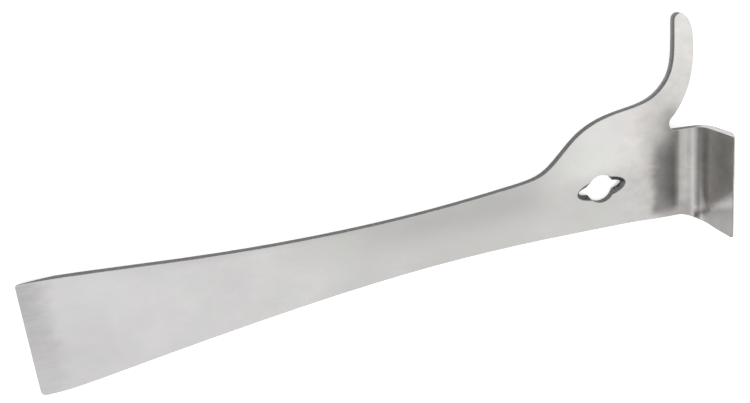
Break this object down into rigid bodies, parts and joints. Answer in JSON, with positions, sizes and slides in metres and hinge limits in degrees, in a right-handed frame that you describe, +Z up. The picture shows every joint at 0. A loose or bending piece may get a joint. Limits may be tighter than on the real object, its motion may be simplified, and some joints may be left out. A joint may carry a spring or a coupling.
{
  "type": "hive tool",
  "caption": "Flat steel hand tool with a bevelled scraper blade, a slim shank, a nail-pulling hole, a hooked claw and a bent-up scraper flange.",
  "frame": {"origin": "middle of the box in plan, on the underside that the tool lies on", "axes": "+X along the tool from the scraper blade to the bent flange, +Y towards the hooked claw, +Z up out of the plate's upper face, the way the flange is bent"},
  "size_m": [0.254, 0.094, 0.0272],
  "materials": {
    "brushed_stainless": "fine brushed, satin"
  },
  "bodies": {
    "root": {"steel_body": "brushed_stainless"}
  },
  "joints": []
}
